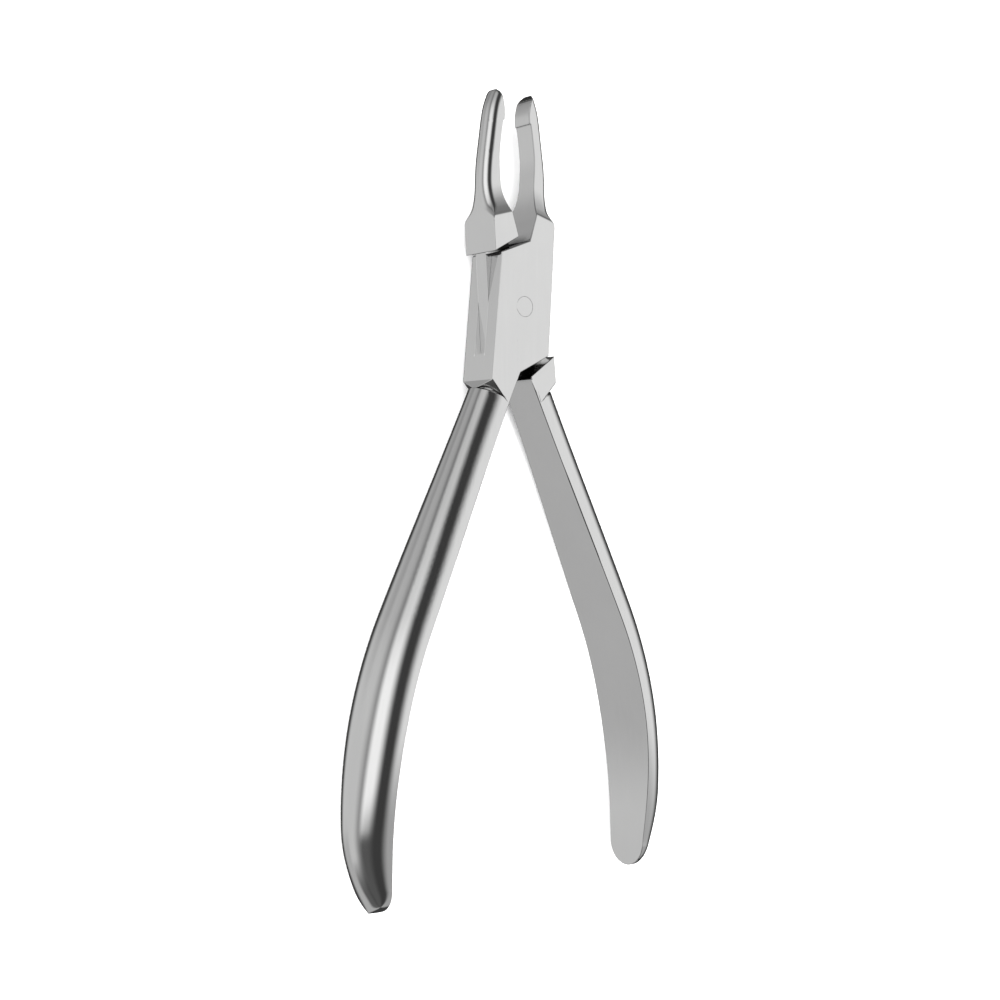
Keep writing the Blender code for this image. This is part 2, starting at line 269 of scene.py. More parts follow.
def slanted_end(edge, sign):
    """Point where a slanted edge meets the joint's side, found by a few rounds of substitution."""
    x = sign * side(edge[0])
    for _ in range(4):
        x = sign * side(slanted(edge, x)[1])
    return slanted(edge, x)


def arc(radius, start, end):
    """Arc about the pivot: radius times (cosine, sine) of angles evenly spaced from start to end."""
    angles = np.radians(np.linspace(start, end, max(3, round(abs(end - start) / ARC_STEP) + 1)))
    return radius * np.column_stack((np.cos(angles), np.sin(angles)))


def smooth(points, steps=8):
    """Catmull-Rom curve: between a and b it is the cubic in t whose slopes there are half of the chords."""
    path = np.asarray(points, float)
    path = np.vstack((2 * path[0] - path[1], path, 2 * path[-1] - path[-2]))
    before, a, b, after = (path[i : len(path) - 3 + i, None] for i in range(4))
    t = (np.arange(steps) / steps)[None, :, None]
    cubic = 2 * a + (b - before) * t + (2 * before - 5 * a + 4 * b - after) * t**2
    cubic = 0.5 * (cubic + (3 * a - before - 3 * b + after) * t**3)
    return np.vstack((cubic.reshape(-1, 2), path[-2]))


def solid_of_rings(name, rings):
    """Closed solid through a stack of closed rings, given as an array (ring, point, xyz) in millimetres."""
    rings = np.asarray(rings, float)
    count, around, _ = rings.shape
    index = np.arange(count * around).reshape(count, around)
    turned = np.roll(index, -1, axis=1)
    walls = np.stack((index[:-1], turned[:-1], turned[1:], index[1:]), axis=-1).reshape(-1, 4)
    mesh = bpy.data.meshes.new(name)
    faces = [*walls.tolist(), index[0][::-1].tolist(), index[-1].tolist()]
    mesh.from_pydata((rings.reshape(-1, 3) * MM).tolist(), [], faces)
    solid = bmesh.new()
    solid.from_mesh(mesh)
    bmesh.ops.remove_doubles(solid, verts=solid.verts, dist=1e-6)
    bmesh.ops.dissolve_degenerate(solid, edges=solid.edges, dist=1e-7)
    bmesh.ops.recalc_face_normals(solid, faces=solid.faces)
    solid.to_mesh(mesh)
    solid.free()
    made = bpy.data.objects.new(name, mesh)
    bpy.context.scene.collection.objects.link(made)
    return made


def plate(name, outline, half_thickness):
    """Flat piece: the outline at minus and at plus half of the thickness."""
    outline = np.asarray(outline, float)
    rings = np.empty((2, len(outline), 3))
    rings[:, :, :2] = outline
    rings[:, :, 2] = np.array((-half_thickness, half_thickness))[:, None]
    return solid_of_rings(name, rings)


def blend(start, end, amount):
    """From start to end along the smooth step 3t squared minus 2t cubed."""
    t = np.clip(amount, 0, 1)
    return start + (end - start) * t * t * (3 - 2 * t)


def handle_line(along):
    """The handle's inner face in the joint's plane: a line, then an arc, then a line, at distances along it.

    Returns the points and the unit directions that point from them to the handle's crown.
    """
    turned = np.clip((along - HANDLE_STRAIGHT) / HANDLE_ARC_RADIUS, 0, HANDLE_TURN)
    last = np.maximum(along - HANDLE_STRAIGHT - HANDLE_ARC_RADIUS * HANDLE_TURN, 0)[:, None]
    now = HANDLE_LEAN - turned
    downward = -np.array((math.sin(HANDLE_LEAN), math.cos(HANDLE_LEAN)))
    first = np.minimum(along, HANDLE_STRAIGHT)[:, None] * downward
    bend = np.column_stack((math.cos(HANDLE_LEAN) - np.cos(now), np.sin(now) - math.sin(HANDLE_LEAN)))
    beyond = last * -np.column_stack((np.sin(now), np.cos(now)))
    outward = np.column_stack((-np.cos(now), np.sin(now)))
    return HANDLE_START + first + bend * HANDLE_ARC_RADIUS + beyond, outward


def handle_half_width(along):
    """Half width: a power of a sine up to the widest place, then a power of a cosine, then a circle."""
    root, widest, end = HANDLE_HALF_WIDTHS
    end_centre = HANDLE_LENGTH - HANDLE_END_RADIUS
    rising = np.clip(along / HANDLE_WIDEST_AT, 0, 1) * math.pi / 2
    falling = np.clip((along - HANDLE_WIDEST_AT) / (end_centre - HANDLE_WIDEST_AT), 0, 1) * math.pi / 2
    grown = root + (widest - root) * np.sin(rising) ** HANDLE_SWELL[0]
    tapered = end + (widest - end) * np.cos(falling) ** HANDLE_SWELL[1]
    rounded = np.sqrt(np.maximum(HANDLE_END_RADIUS**2 - np.maximum(along - end_centre, 0) ** 2, 0.004))
    return np.where(along < HANDLE_WIDEST_AT, grown, np.where(along < end_centre, tapered, rounded))


def handle_depth(along):
    """Depth from inner face to crown: a smooth step to the grip's depth, then a parabola down to the tip's.

    Inside the root it is shallower, so that it comes out under the root's ridge.
    """
    root, grip, tip = HANDLE_DEPTHS
    start, end = HANDLE_EMERGES
    thinned = (np.maximum(along - HANDLE_LENGTH + HANDLE_TIP_TAPER, 0) / HANDLE_TIP_TAPER) ** 2
    sunk = blend(HANDLE_SUNK, 0, (along - start) / (end - start))
    return blend(root, grip, 2 * along / HANDLE_LENGTH) + (tip - grip) * thinned - sunk


def handle(name, start):
    """The handle: at each distance along its inner face, a half ellipse of half width w and depth d.

    Its point at angle a is the face's point plus d cos(a) outward, at height w sin(a).
    """
    end_centre = HANDLE_LENGTH - HANDLE_END_RADIUS
    body = np.concatenate(([start], np.linspace(*HANDLE_EMERGES, 6), np.linspace(6, end_centre, 140)))
    tip = end_centre + HANDLE_END_RADIUS * np.sin(np.radians(np.linspace(4, 89, 26)))
    along = np.concatenate((body, tip))
    foot, outward = handle_line(along)
    angle = np.linspace(-math.pi / 2, math.pi / 2, 57)
    crown = outward[:, None] * handle_depth(along)[:, None, None]
    flat = foot[:, None] + crown * np.cos(angle)[None, :, None]
    level = handle_half_width(along)[:, None] * np.sin(angle)
    return solid_of_rings(name, np.dstack((flat, level)))


def jaw_frame():
    """Directions of the jaw's sections in the joint's plane: across, towards the outer side, and up."""
    across = np.array((math.cos(JAW_SKEW), math.sin(JAW_SKEW)))
    return across, np.array((-across[1], across[0]))


def to_jaw(points):
    """Points of the joint's plane as (across, up) of the jaw's sections, from the jaw's root."""
    across, up = jaw_frame()
    reach = np.asarray(points) - JAW_ROOT
    return np.stack((reach @ across, reach @ up), axis=-1)


def jaw_edges(base_inner, base_outer):
    """The jaw's inner and outer edges as (across, up) of its sections, from below its root to the tip."""
    across, up = jaw_frame()
    tip = smooth((*JAW_PAD, JAW_TIP, *JAW_OUTER, (side(JAW_SIDE_Y), JAW_SIDE_Y)))
    apex = int(np.argmax(tip @ up))
    inner = np.vstack((smooth((*base_inner, JAW_ROOT, *JAW_INNER)), tip[: apex + 1]))
    outer = np.vstack((base_outer, tip[apex:][::-1]))
    return to_jaw(inner), to_jaw(outer)


def distance_to_path(points, path):
    """Distance from each point to a path: the least distance to any of the path's straight pieces."""
    start, run = path[:-1], np.diff(path, axis=0)
    reach = points[..., None, :] - start
    share = np.clip((reach * run).sum(-1) / (run**2).sum(-1), 0, 1)
    return np.linalg.norm(reach - share[..., None] * run, axis=-1).min(-1)


def jaw_rings(base_inner, base_outer, corner):
    """The jaw: a stack of sections whose half thickness h is a function of the place in the joint's plane.

    h follows the hollow's circle up from the joint's face and then stays level. Within the corner's radius
    r of the outer edge it drops along a quarter ellipse, by s times (r minus the root of (r squared less
    (r - d) squared)), where d is the distance to that edge. r grows smoothly from nothing at the root.
    """
    inner, outer = jaw_edges(base_inner, base_outer)
    top = inner[-1, 1]
    closing = top - 2.4 * (1 - np.sin(np.radians(np.linspace(5, 86, 18))))
    levels = np.concatenate((inner[:, 1], outer[::3, 1], closing))
    levels = np.unique(np.round(levels[(levels > -JAW_BURIED + 0.05) & (levels < top - 0.008)], 4))
    levels = levels[np.concatenate(([True], np.diff(levels) > 0.01))]
    levels = np.concatenate(([-JAW_BURIED], levels))
    start = np.interp(levels, inner[:, 1], inner[:, 0])[:, None]
    width = np.interp(levels, outer[:, 1], outer[:, 0])[:, None] - start
    hollow = np.clip(RELIEF_HEIGHT - levels, 0, RELIEF_RADIUS)
    flared = JAW_THICKNESS / 2 + RELIEF_RADIUS - np.sqrt(RELIEF_RADIUS**2 - hollow**2)
    half = np.minimum(flared, HALF)[:, None]
    radius = blend(0, corner, (levels + JAW_BURIED) / 3.0)[:, None]
    angle = np.radians(np.linspace(0, 90, 15))
    curved = width - np.minimum(radius, 0.9 * width) * (1 - np.sin(angle))
    across_all = np.hstack((np.linspace(0, 1, 7)[:-1] * curved[:, :1], curved)) + start
    spots = np.dstack((across_all, np.broadcast_to(levels[:, None], across_all.shape)))
    wall = np.vstack((inner[-1:], outer[-2::-1]))
    gone = radius - np.minimum(distance_to_path(spots, wall), radius)
    level_all = half - JAW_CORNER_STRETCH * (radius - np.sqrt(radius**2 - gone**2))
    across, up = jaw_frame()
    flat = JAW_ROOT + across_all[:, :, None] * across + levels[:, None, None] * up
    front = np.dstack((flat, level_all))
    return np.concatenate((front, front[:, ::-1] * (1, 1, -1)), axis=1)


def root_outline():
    """The handle's full-thickness root, from the top of its inner side to its outer corner."""
    corner = np.array((-side(ROOT_CORNER_Y), ROOT_CORNER_Y))
    flare = np.array((-math.tan(ROOT_OUTER_LEAN), -1.0))
    points, outward = handle_line(np.array(ROOT_INNER))
    return np.vstack((points + outward * ROOT_INSET, corner + ROOT_LENGTH * flare, corner))


def facet_cutters(name):
    """Two slabs, each with one side on the plane of a root facet and the rest of it past that facet."""
    turn = ROOT_FACET_TURN - math.pi / 2
    away = np.array((math.cos(turn), math.sin(turn)))
    made = []
    for face in (-1, 1):
        normal = np.array((away[0] * HALF, away[1] * HALF, face * ROOT_RIDGE_REACH))
        normal /= np.linalg.norm(normal)
        flat_edge = np.array((-away[1], away[0], 0.0))
        slope = np.cross(normal, flat_edge)
        corner = np.array((-side(ROOT_CORNER_Y), ROOT_CORNER_Y, face * HALF))
        square = np.array(((-1, -1), (1, -1), (1, 1), (-1, 1))) * 12.0
        sheet = corner + square[:, :1] * flat_edge + square[:, 1:] * slope
        made.append(solid_of_rings(f"{name}_{face}", np.stack((sheet, sheet + 9.0 * normal))))
    return made


def slot_outline():
    """The pocket between the cheeks: round, open to the upper left and to the lower right."""
    top_angle = math.degrees(math.acos(SLOT_TOP_X / SLOT_RADIUS))
    foot_angle = 360 - math.degrees(math.acos(SLOT_FOOT_X / SLOT_RADIUS))
    left = [(SLOT_TOP_X, SLOT_REACH), (-SLOT_RADIUS, SLOT_REACH), *arc(SLOT_RADIUS, 180, foot_angle)]
    right = [(SLOT_FOOT_X, -SLOT_REACH), (SLOT_RADIUS, -SLOT_REACH), *arc(SLOT_RADIUS, 0, top_angle)]
    return left + right


def tongue_outline():
    """The tongue: a round plate with flat sides, and a neck to the jaw base and another to the root."""

    def flank(y):
        return side(y) - TONGUE_SIDE_INSET

    corner = math.degrees(math.acos(flank(0) / TONGUE_RADIUS))
    neck_angle = math.degrees(math.acos(NECK_X / TONGUE_RADIUS))
    neck_top = slanted(SHOULDER_TOP, NECK_X + NECK_TOP_GROWTH)
    side_top = slanted(SHOULDER_TOP, flank(SHOULDER_TOP[0]) - TONGUE_BURIED)
    neck_foot = slanted(SHOULDER_FOOT, -NECK_X - NECK_FOOT_GROWTH)
    side_foot = slanted(SHOULDER_FOOT, TONGUE_BURIED - flank(SHOULDER_FOOT[0]))
    top_flank_y = slanted_end(SHOULDER_TOP, 1)[1] + TONGUE_BURIED / 2
    foot_flank_y = slanted_end(SHOULDER_FOOT, -1)[1] - TONGUE_BURIED / 2
    return [
        (neck_top[0], neck_top[1] + TONGUE_OVERLAP),
        *arc(TONGUE_RADIUS, neck_angle, 180 - corner),
        (-flank(foot_flank_y), foot_flank_y),
        (side_foot[0], side_foot[1] - TONGUE_OVERLAP),
        (neck_foot[0], neck_foot[1] - TONGUE_OVERLAP),
        *arc(TONGUE_RADIUS, 180 + neck_angle, 360 - corner),
        (flank(top_flank_y), top_flank_y),
        (side_top[0], side_top[1] + TONGUE_OVERLAP),
    ]


def bar(name, radius, half_length):
    """A round bar on the pivot's axis."""
    return plate(name, arc(radius, 0, 360)[:-1], half_length)


def apply_steps(obj, steps):
    """Joins solids to the object, or cuts them out of it, in order, and bakes the result into its mesh."""
    for operation, other in steps:
        step = obj.modifiers.new(other.name, "BOOLEAN")
        step.operation = operation
        step.object = other
        step.solver = "EXACT"
    bpy.context.view_layer.update()
    graph = bpy.context.evaluated_depsgraph_get()
    mesh = bpy.data.meshes.new_from_object(obj.evaluated_get(graph))
    obj.modifiers.clear()
    obj.data = mesh
    for _, other in steps:
        bpy.data.objects.remove(other)


def clean(obj):
    """Merges points that almost touch, drops what is left inside at the jaw's foot, and joins level faces."""
    _, up = jaw_frame()
    solid = bmesh.new()
    solid.from_mesh(obj.data)
    bmesh.ops.remove_doubles(solid, verts=solid.verts, dist=TOUCHING * MM)
    bmesh.ops.dissolve_degenerate(solid, edges=solid.edges, dist=TOUCHING * MM)
    inside = []
    for face in solid.faces:
        levels = (np.array([vert.co[:2] for vert in face.verts]) / MM - JAW_ROOT) @ up
        if np.abs(levels + JAW_BURIED).max() < 0.01:
            inside.append(face)
    bmesh.ops.delete(solid, geom=inside, context="FACES")
    bmesh.ops.dissolve_limit(
        solid,
        angle_limit=LEVEL_ANGLE,
        verts=solid.verts,
        edges=solid.edges,
        use_dissolve_boundaries=False,
    )
    bmesh.ops.recalc_face_normals(solid, faces=solid.faces)
    solid.to_mesh(obj.data)
    solid.free()


def place(obj, lean, mirrored):
    """Turns a half from its closed drawing to its place at rest, and moves it to the pivot."""
    turn = Matrix.Translation(PIVOT) @ Matrix.Rotation(math.radians(lean), 4, "Z")
    if mirrored:
        turn = turn @ Matrix.Diagonal((-1, 1, 1, 1))
    obj.data.transform(turn)
    if mirrored:
        obj.data.flip_normals()


def mark_edges(obj):
    """Marks the sharp outer edges that are rounded, and every edge that stays sharp in the shading.

    The edges inside the slot and round the bore are left, because the pieces run close to each other
    there. So are the foot of the jaw's corners, whose own rounding starts there, and the handle's start
    under the ridge.
    """
    _, up = jaw_frame()
    solid = bmesh.new()
    solid.from_mesh(obj.data)
    weights = solid.edges.layers.float.new("bevel_weight_edge")
    for edge in solid.edges:
        angle = edge.calc_face_angle(math.pi)
        edge.smooth = angle < EDGE_ANGLE
        if angle < HAND_BROKEN_ANGLE:
            continue
        ends = np.array([vert.co for vert in edge.verts]) / MM
        reach = np.hypot(ends[:, 0], ends[:, 1])
        inside = (np.abs(ends[:, 2]) < SLOT_INSIDE[0]) & (reach < SLOT_INSIDE[1])
        bored = reach < BORE_INSIDE
        level = (ends[:, :2] - JAW_ROOT) @ up + JAW_BURIED
        at_jaw_foot = (level > -0.01) & (level < JAW_FOOT_TOP) & (ends[:, 0] > JAW_FOOT_X)
        on_seam = np.abs(level) < 0.05
        depth = ROOT_CORNER_Y - ends[:, 1]
        at_ridge = (depth > RIDGE_DEPTHS[0]) & (depth < RIDGE_DEPTHS[1]) & (ends[:, 0] < RIDGE_X)
        if not (inside | bored | at_jaw_foot | on_seam | at_ridge).all():
            edge[weights] = 1.0
    solid.to_mesh(obj.data)
    solid.free()
    for face in obj.data.polygons:
        face.use_smooth = True


def break_edges(obj, width):
    """Rounds the marked edges a little, so that they catch the light, and keeps flat faces flat."""
    rounded = obj.modifiers.new("broken edges", "BEVEL")
    rounded.width = width
    rounded.segments = 2
    rounded.limit_method = "WEIGHT"
    rounded.use_clamp_overlap = False
    rounded.harden_normals = True
    weighted = obj.modifiers.new("flat faces", "WEIGHTED_NORMAL")
    weighted.keep_sharp = True
    weighted.weight = 80


def remove_old(name):
    """Clears a piece made by an earlier run of its operator."""
    old = bpy.data.objects.get(name)
    if old is not None:
        bpy.data.objects.remove(old)


class Socket:
    """A shader value, with arithmetic: an expression on it adds the Math nodes that work it out."""

    def __init__(self, shader, link):
        self.shader = shader
        self.link = link

    def __add__(self, other):
        return self.shader.math("ADD", self, other)

    def __sub__(self, other):
        return self.shader.math("SUBTRACT", self, other)

    def __rsub__(self, other):
        return self.shader.math("SUBTRACT", other, self)

    def __mul__(self, other):
        return self.shader.math("MULTIPLY", self, other)

    __radd__ = __add__
    __rmul__ = __mul__


class Shader:
    """The nodes of a material or of the world."""

    def __init__(self, owner):
        owner.use_nodes = True
        self.tree = owner.node_tree
        self.tree.nodes.clear()

    def node(self, kind, settings=None, values=None, output=0):
        """Adds a node, sets it, fills its sockets with numbers or links, and returns one of its outputs."""
        made = self.tree.nodes.new(kind)
        for name, setting in (settings or {}).items():
            setattr(made, name, setting)
        for name, value in (values or {}).items():
            if isinstance(value, Socket):
                self.tree.links.new(value.link, made.inputs[name])
            else:
                made.inputs[name].default_value = value
        return Socket(self, made.outputs[output]) if made.outputs else made

    def math(self, operation, first, second):
        return self.node("ShaderNodeMath", {"operation": operation}, {0: first, 1: second})

    def parts(self, vector):
        """The three numbers of a vector."""
        return [self.node("ShaderNodeSeparateXYZ", values={0: vector}, output=i) for i in range(3)]

    def noise(self, vector, scale, detail):
        """Noise of so many waves to the metre, from 0 to 1."""
        return self.node("ShaderNodeTexNoise", values={"Vector": vector, "Scale": scale, "Detail": detail})

    def mix(self, first, second, share):
        """From the first colour to the second by a share from 0 to 1."""
        settings = {"data_type": "RGBA", "clamp_factor": True}
        return self.node("ShaderNodeMix", settings, {"Factor": share, 6: first, 7: second}, output=2)

    def step(self, value, start, end):
        """A smooth step from 0 at the start to 1 at the end."""
        settings = {"interpolation_type": "SMOOTHSTEP"}
        return self.node("ShaderNodeMapRange", settings, {0: value, 1: start, 2: end, 3: 0.0, 4: 1.0})


SLOT_WALL = (0.97, 0.97, 0.97, 1.0)  # stands for light thrown back and forth between the slot's walls
PAINTED_GAP_SHADE = (0.008, 0.008, 0.008, 1.0)  # painted shade: near-black colour painted deep in the gaps under the shoulders
GAP_REACH = 0.0035  # distance within which neighbouring steel shades a gap
OVER_TONGUE = (0.00136, 0.00138)  # heights from the joint's middle between which the slot's walls begin
UNDER_CHEEK = (0.00149, 0.00146)  # and end
SLOT_WALL_END = (0.0088, 0.0085)  # distances from the pivot, along the tool
# Distances from the pivot, along the tool, where the painted shade in the gaps fades in and then out again
GAP_SHADE_START = (0.0090, 0.0100)
GAP_SHADE_END = (0.0165, 0.0150)


def steel(name, finish, grain_turn, roughness):
    """Polished steel: faint uneven polish, fine lines left by the belt, and a little roughness under both."""
    material = bpy.data.materials.new(name)
    shader = Shader(material)
    place_on = shader.node("ShaderNodeTexCoord", output=3)
    lines_at = shader.node(
        "ShaderNodeMapping",
        values={0: place_on, "Rotation": (0.0, 0.0, grain_turn), "Scale": (1.0, 0.04, 1.0)},
    )
    lines = shader.noise(lines_at, 1 / finish.grain, 4.0)
    clouds = shader.noise(place_on, 90.0, 3.0)
    pits = shader.noise(place_on, 5200.0, 2.0)
    polish = (clouds - 0.5) * 0.9 + (lines - 0.5) * 0.5 + 0.5
    colour = shader.mix(finish.dull, finish.bright, polish)
    _, y, z = shader.parts(place_on)
    level = shader.math("ABSOLUTE", z - PIVOT.z, 0.0)
    height = shader.math("ABSOLUTE", y, 0.0)
    in_slot = shader.step(level, *UNDER_CHEEK) * shader.step(level, *OVER_TONGUE)
    colour = shader.mix(colour, SLOT_WALL, in_slot * shader.step(height, *SLOT_WALL_END))
    # Painted shade: where ambient occlusion finds the gaps under the shoulders closed in, the steel is
    # painted near-black
    shade = shader.node("ShaderNodeAmbientOcclusion", {"samples": 8}, {"Distance": GAP_REACH}, output=1)
    open_air = shader.step(shade, 0.45, 0.80)
    painted_shade = (1.0 - open_air) * shader.step(height, *GAP_SHADE_START) * shader.step(height, *GAP_SHADE_END)
    colour = shader.mix(colour, PAINTED_GAP_SHADE, painted_shade)
    rough = (clouds - 0.5) * 0.04 + (lines - 0.5) * 0.05 + (pits - 0.5) * 0.03 + roughness
    relief = lines * 0.6 + pits * 0.4
    bump = shader.node("ShaderNodeBump", values={"Height": relief, "Strength": 0.035, "Distance": 0.0001})
    surface = shader.node(
        "ShaderNodeBsdfPrincipled",
        values={"Base Color": colour, "Metallic": 1.0, "Roughness": rough, "Normal": bump},
    )
    shader.node("ShaderNodeOutputMaterial", values={"Surface": surface})
    return material


def finish_forging(half, steps, lean, mirrored, material):
    """Joins and cuts a half, cleans it, marks its edges, puts it in its place and gives it its steel."""
    sizes = bpy.context.scene.pliers_sizes
    finish = bpy.context.scene.pliers_finish
    apply_steps(half, steps)
    clean(half)
    mark_edges(half)
    place(half, lean, mirrored)
    half.data.materials.append(steel(material, finish, math.radians(lean), finish.roughness))
    break_edges(half, sizes.edge)


class OBJECT_OT_box_half(bpy.types.Operator):
    """Add the forging with the right jaw, the slotted box and the left handle"""

    bl_idname = "pliers.box_half"
    bl_label = "Box half"
    bl_options = {"REGISTER", "UNDO"}

    def execute(self, context):
        sizes = context.scene.pliers_sizes
        remove_old("box_forging")
        rings = jaw_rings(
            [slanted(CHEEK_TOP, CHEEK_TOP_X)], [slanted_end(CHEEK_FOOT, 1)], sizes.jaw_corner / MM
        )
        foot = rings[0, :, :2]
        outline = np.vstack(
            (
                slanted_end(CHEEK_TOP, -1),
                slanted(CHEEK_TOP, CHEEK_TOP_X),
                foot[0],
                foot[len(foot) // 2],
                slanted_end(CHEEK_FOOT, 1),
                slanted(CHEEK_FOOT, CHEEK_FOOT_X),
                root_outline(),
            )
        )
        half = plate("box_forging", outline, HALF)
        steps = [("DIFFERENCE", cutter) for cutter in facet_cutters("box_facet")]
        steps += [
            ("UNION", solid_of_rings("box_jaw", rings)),
            ("UNION", handle("box_handle", 0.0)),
            ("DIFFERENCE", plate("box_slot", slot_outline(), SLOT_THICKNESS / 2)),
            ("DIFFERENCE", bar("box_bore", CHEEK_BORE_RADIUS, HALF + MARGIN)),
        ]
        finish_forging(half, steps, -REST_LEAN, False, "polished_steel_box")
        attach(half, "box")
        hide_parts("box_half")
        return {"FINISHED"}


class OBJECT_OT_tongue_half(bpy.types.Operator):
    """Add the forging with the left jaw, the tongue and the right handle"""

    bl_idname = "pliers.tongue_half"
    bl_label = "Tongue half"
    bl_options = {"REGISTER", "UNDO"}

    def execute(self, context):
        sizes = context.scene.pliers_sizes
        remove_old("tongue_forging")
        rings = jaw_rings(
            [slanted(SHOULDER_TOP, SHOULDER_TOP_X)], [slanted_end(SHOULDER_TOP, 1)], sizes.jaw_corner / MM
        )
        foot = rings[0, :, :2]
        base = [
            slanted(SHOULDER_TOP, SHOULDER_TOP_X),
            foot[0],
            foot[len(foot) // 2],
            slanted_end(SHOULDER_TOP, 1),
        ]
        half = plate("tongue_forging", base, HALF)
        root_top = (slanted_end(SHOULDER_FOOT, -1), slanted(SHOULDER_FOOT, SHOULDER_FOOT_X))
        root = plate("tongue_root", np.vstack((root_top, root_outline())), HALF)
        apply_steps(root, [("DIFFERENCE", cutter) for cutter in facet_cutters("tongue_facet")])
        steps = [
            ("UNION", solid_of_rings("tongue_jaw", rings)),
            ("UNION", plate("tongue", tongue_outline(), TONGUE_THICKNESS / 2)),
            ("UNION", root),
            ("UNION", handle("tongue_handle", TONGUE_HANDLE_START)),
            ("DIFFERENCE", bar("tongue_bore", TONGUE_BORE_RADIUS, HALF + MARGIN)),
        ]
        finish_forging(half, steps, REST_LEAN, True, "polished_steel_tongue")
        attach(half, "tongue")
        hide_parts("tongue_half")
        return {"FINISHED"}


class OBJECT_OT_pivot_pin(bpy.types.Operator):
    """Add the rivet pin, ground flush with both faces of the joint"""

    bl_idname = "pliers.pivot_pin"
    bl_label = "Pivot pin"
    bl_options = {"REGISTER", "UNDO"}

    def execute(self, context):
        sizes = context.scene.pliers_sizes
        finish = context.scene.pliers_finish
        remove_old("rivet_pin")
        chamfer = sizes.pin_chamfer / MM
        radii = np.array((PIN_RADIUS - chamfer, PIN_RADIUS, PIN_RADIUS, PIN_RADIUS - chamfer))
        levels = np.array((-HALF, chamfer - HALF, HALF - chamfer, HALF))
        circle = arc(1.0, 0, 360)[:-1]
        rings = np.empty((4, len(circle), 3))
        rings[:, :, :2] = radii[:, None, None] * circle
        rings[:, :, 2] = levels[:, None]
        pin = solid_of_rings("rivet_pin", rings)
        pin.data.transform(Matrix.Translation(PIVOT))
        pin.data.shade_smooth()
        pin.data.set_sharp_from_angle(angle=math.radians(30))
        pin.data.materials.append(steel("ground_steel_pin", finish, 0.4, finish.roughness + 0.05))
        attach(pin, "box")
        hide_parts("pivot_pin")
        return {"FINISHED"}


FLOOR_POINTS = 9  # along each side of the floor's grid
LAMP_AT = (-0.60, 0.0, 0.80)
LAMP_SIZE = 1.6
CAMERA_AT = (-0.17778, -0.03221, 0.22808)
CAMERA_TURNS = (38.1126, 0.2730, -0.0439)  # degrees about Y, X and Z


class OBJECT_OT_studio(bpy.types.Operator):
    """Add the pale floor, the soft light all round and the camera"""

    bl_idname = "pliers.studio"
    bl_label = "Studio"
    bl_options = {"REGISTER", "UNDO"}

    def execute(self, context):
        studio = context.scene.pliers_studio
        remove_old("studio_floor")
        half = studio.floor_size / 2 / MM
        steps = np.linspace(-half, half, FLOOR_POINTS)
        grid = np.stack(np.meshgrid(steps, steps, indexing="ij"), axis=-1).reshape(-1, 2)
        level = CAD_BOX[0][2]
        mesh = bpy.data.meshes.new("studio_floor")
        index = np.arange(len(grid)).reshape(FLOOR_POINTS, FLOOR_POINTS)
        corners = (index[:-1, :-1], index[1:, :-1], index[1:, 1:], index[:-1, 1:])
        faces = np.stack(corners, axis=-1).reshape(-1, 4)
        points = np.column_stack((grid * MM, np.full(len(grid), level)))
        mesh.from_pydata(points.tolist(), [], faces.tolist())
        floor = bpy.data.objects.new("studio_floor", mesh)
        context.scene.collection.objects.link(floor)
        paint = bpy.data.materials.new("pale_floor")
        shader = Shader(paint)
        surface = shader.node(
            "ShaderNodeBsdfPrincipled",
            values={"Base Color": studio.floor_colour, "Roughness": 0.9, "Specular IOR Level": 0.0},
        )
        shader.node("ShaderNodeOutputMaterial", values={"Surface": surface})
        mesh.materials.append(paint)
        floor.visible_glossy = False
        soft_light(context.scene, studio.tent)
        overhead = bpy.data.lights.new("overhead", "AREA")
        overhead.shape = "SQUARE"
        overhead.size = LAMP_SIZE
        overhead.energy = studio.overhead
        lamp = bpy.data.objects.new("overhead", overhead)
        lamp.location = LAMP_AT
        lamp.rotation_euler = (0.0, math.atan2(LAMP_AT[0], LAMP_AT[2]), 0.0)
        lamp.visible_glossy = False
        context.scene.collection.objects.link(lamp)
        camera = bpy.data.cameras.new("camera")
        camera.lens = studio.lens
        camera.clip_start = 0.01
        eye = bpy.data.objects.new("camera", camera)
        eye.matrix_world = camera_place()
        context.scene.collection.objects.link(eye)
        context.scene.camera = eye
        context.scene.view_settings.view_transform = "Standard"
        return {"FINISHED"}


def camera_place():
    """The camera's place: its turns about Y, then X, then Z, taken the other way round."""
    about_y, about_x, about_z = map(math.radians, CAMERA_TURNS)
    turn = (
        Matrix.Rotation(about_z, 3, "Z") @ Matrix.Rotation(about_x, 3, "X") @ Matrix.Rotation(about_y, 3, "Y")
    )
    return Matrix.Translation(CAMERA_AT) @ turn.transposed().to_4x4()


class LightPanel:
    """A soft panel that runs along the tool, between two angles from overhead towards the left, in degrees.

    It fades to a share of its brightness level with the tool's foot and with its head, round two places along
    the tool that run from -1 at the foot to 1 at the head.
    """

    def __init__(self, edges, softness, brightness, foot, head):
        self.edges = edges
        self.softness = softness
        self.brightness = brightness
        self.foot_share, self.foot_at = foot
        self.head_share, self.head_at = head

    def light(self, shader, angle, y):
        """The panel's brightness: a soft window on the angle, times a fade at each end."""
        start, end = self.edges
        first, last = self.softness
        window = shader.step(angle, math.radians(start - first), math.radians(start + first))
        window = window * shader.step(angle, math.radians(end + last), math.radians(end - last))
        foot = shader.step(y, self.foot_at + FOOT_FADE, self.foot_at - FOOT_FADE) * (1 - self.foot_share)
        head = shader.step(y, self.head_at - HEAD_FADE, self.head_at + HEAD_FADE) * (1 - self.head_share)
        return window * self.brightness * (1 - foot) * (1 - head)


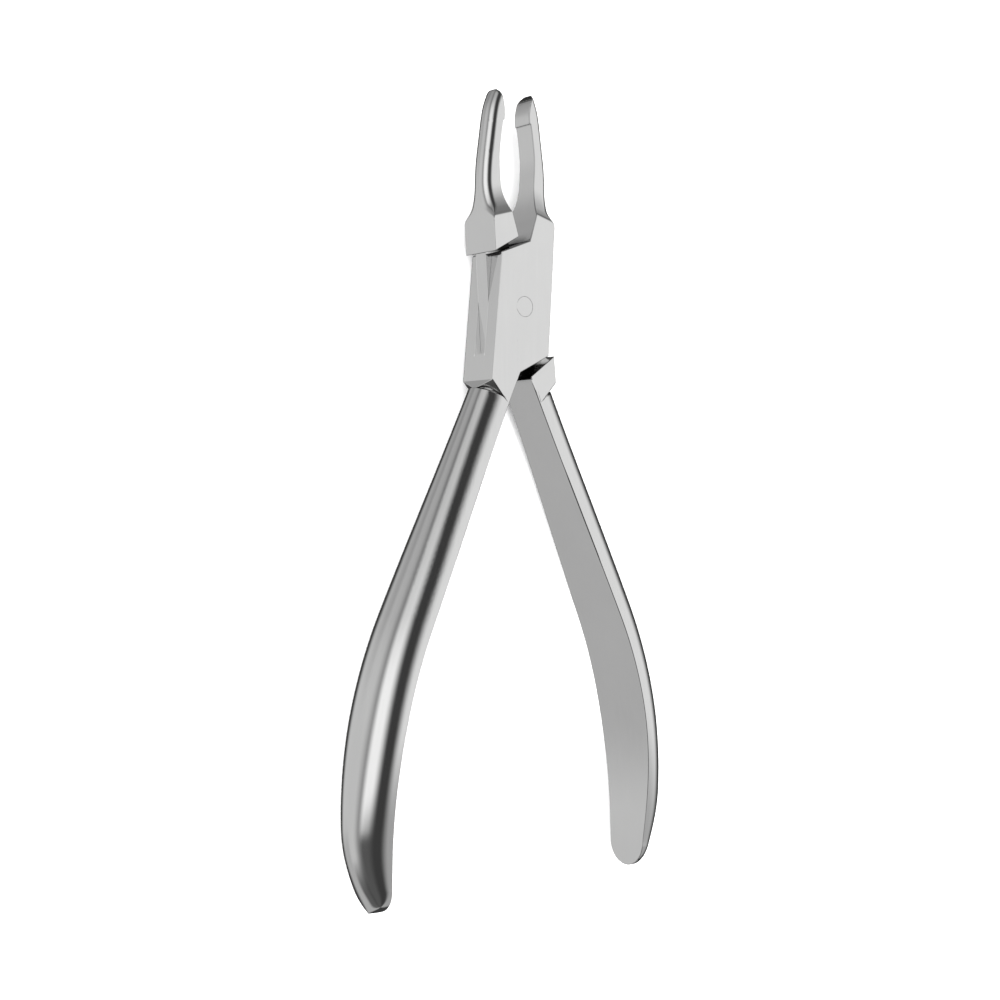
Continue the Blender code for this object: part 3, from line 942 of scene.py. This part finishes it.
FOOT_FADE = 0.13  # half of the length over which a panel fades at the foot
HEAD_FADE = 0.33  # and at the head
GAP_LIGHT = 0.08  # light from the gaps between the panels
LIGHT_PANELS = (
    LightPanel((-92, -6), (16, 14), 1.25, (0.45, -0.25), (0.16, 0.61)),  # wall on the right
    LightPanel((38, 77), (14, 10), 1.60, (0.05, -0.25), (0.25, 0.61)),  # bright panel on the left
    LightPanel((86, 130), (22, 10), 0.90, (0.12, -0.60), (0.45, 0.61)),  # wall on the left
    LightPanel((130, 172), (10, 12), 0.90, (0.75, -0.25), (0.40, 0.41)),  # light thrown up by the table
)


def soft_light(scene, strength):
    """A tent of four soft panels along the tool, with a dark gap overhead."""
    world = bpy.data.worlds.new("soft_light")
    scene.world = world
    shader = Shader(world)
    x, y, z = shader.parts(shader.node("ShaderNodeTexCoord", output=0))  # the direction looked in
    angle = shader.math("ARCTAN2", x * -1.0, z)
    total = sum((panel.light(shader, angle, y) for panel in LIGHT_PANELS), GAP_LIGHT)
    light = shader.node("ShaderNodeBackground", values={"Strength": total * strength})
    shader.node("ShaderNodeOutputWorld", values={"Surface": light})


class VIEW3D_PT_pliers(bpy.types.Panel):
    """Sizes, finish and steps of the pliers"""

    bl_idname = "VIEW3D_PT_pliers"
    bl_label = "Crimping pliers"
    bl_space_type = "VIEW_3D"
    bl_region_type = "UI"
    bl_category = "Pliers"

    def draw(self, context):
        layout = self.layout
        for group in ("pliers_sizes", "pliers_finish", "pliers_studio"):
            settings = getattr(context.scene, group)
            box = layout.box()
            for name in type(settings).__annotations__:
                box.prop(settings, name)
        for step in STEPS:
            layout.operator(step.bl_idname)


STEPS = (OBJECT_OT_box_half, OBJECT_OT_tongue_half, OBJECT_OT_pivot_pin, OBJECT_OT_studio)
CLASSES = (ForgingSizes, SteelFinish, StudioSettings, *STEPS, VIEW3D_PT_pliers)


def register():
    for made in CLASSES:
        bpy.utils.register_class(made)
    bpy.types.Scene.pliers_sizes = PointerProperty(type=ForgingSizes)
    bpy.types.Scene.pliers_finish = PointerProperty(type=SteelFinish)
    bpy.types.Scene.pliers_studio = PointerProperty(type=StudioSettings)


def unregister():
    del bpy.types.Scene.pliers_studio
    del bpy.types.Scene.pliers_finish
    del bpy.types.Scene.pliers_sizes
    for made in reversed(CLASSES):
        bpy.utils.unregister_class(made)


def main():
    register()
    bpy.ops.pliers.box_half()
    bpy.ops.pliers.tongue_half()
    bpy.ops.pliers.pivot_pin()
    bpy.ops.pliers.studio()


if __name__ == "__main__":
    main()
